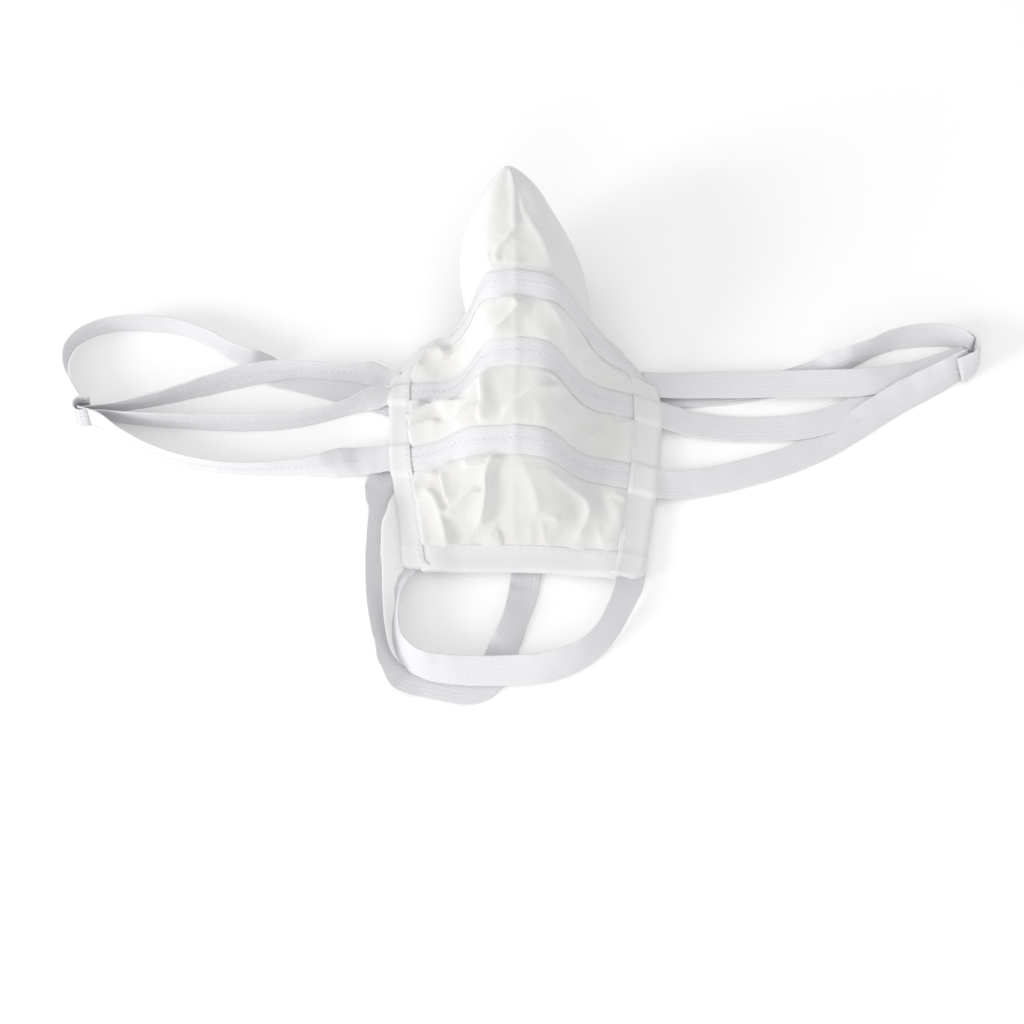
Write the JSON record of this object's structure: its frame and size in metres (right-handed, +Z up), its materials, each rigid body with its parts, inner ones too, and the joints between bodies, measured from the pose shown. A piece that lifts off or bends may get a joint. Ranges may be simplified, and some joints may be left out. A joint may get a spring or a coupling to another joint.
{
  "type": "disposable dust mask",
  "caption": "White cloth dust mask with a pointed nose peak, gathered front, sewn elastic tapes, head harness, chin loop and neck loop, laid out face up.",
  "frame": {"origin": "middle of the underside of the back strap where the mask lies on it, on the table", "axes": "+X along the spread harness, +Y towards the nose peak, +Z up from the table through the front of the mask"},
  "size_m": [0.3754, 0.2244, 0.0535],
  "materials": {
    "non_woven": "soft white non-woven cloth, gathered",
    "filter_media": "matt melt-blown web",
    "lining_cloth": "soft brushed white cloth",
    "knitted_elastic": "flat woven white elastic tape with a zigzag stitch",
    "binding_cloth": "folded white cloth strip, top-stitched"
  },
  "bodies": {
    "mask": {"outer_cover_left": "non_woven", "outer_cover_right": "non_woven", "filter_layer_left": "filter_media", "filter_layer_right": "filter_media", "inner_lining_left": "lining_cloth", "inner_lining_right": "lining_cloth", "nose_peak_left": "non_woven", "nose_peak_right": "non_woven", "nose_peak_lining_left": "lining_cloth", "nose_peak_lining_right": "lining_cloth", "side_binding_left": "binding_cloth", "side_binding_right": "binding_cloth", "bottom_hem": "binding_cloth", "upper_band": "knitted_elastic", "middle_band": "knitted_elastic", "lower_band": "knitted_elastic", "back_strap_middle": "knitted_elastic", "neck_strap_left": "knitted_elastic", "neck_strap_right": "knitted_elastic"},
    "left_harness": {"upper_strap_left": "knitted_elastic", "middle_strap_left": "knitted_elastic", "lower_strap_left": "knitted_elastic", "back_strap_left": "knitted_elastic", "gather_tab_left": "knitted_elastic"},
    "right_harness": {"upper_strap_right": "knitted_elastic", "middle_strap_right": "knitted_elastic", "lower_strap_right": "knitted_elastic", "back_strap_right": "knitted_elastic", "gather_tab_right": "knitted_elastic"},
    "chin_loop": {"chin_loop": "knitted_elastic"},
    "neck_loop": {"neck_loop": "knitted_elastic"}
  },
  "joints": [
    {"name": "left_harness_swing", "type": "hinge", "parent": "mask", "child": "left_harness", "pos_m": [-0.0534, 0, 0.0014], "axis": [0, 1, 0], "range_deg": [-90, 90], "deforming": ["upper_strap_left", "middle_strap_left"]},
    {"name": "right_harness_swing", "type": "hinge", "parent": "mask", "child": "right_harness", "pos_m": [0.0612, 0, 0.0022], "axis": [0, 1, 0], "range_deg": [-90, 90]},
    {"name": "chin_loop_swing", "type": "hinge", "parent": "mask", "child": "chin_loop", "pos_m": [0, -0.0816, 0.0026], "axis": [0.9983, -0.0581, 0], "range_deg": [-85, 0]},
    {"name": "neck_loop_swing", "type": "hinge", "parent": "mask", "child": "neck_loop", "pos_m": [0, -0.0771, 0.0009], "axis": [1, 0, 0], "range_deg": [0, 90]}
  ]
}
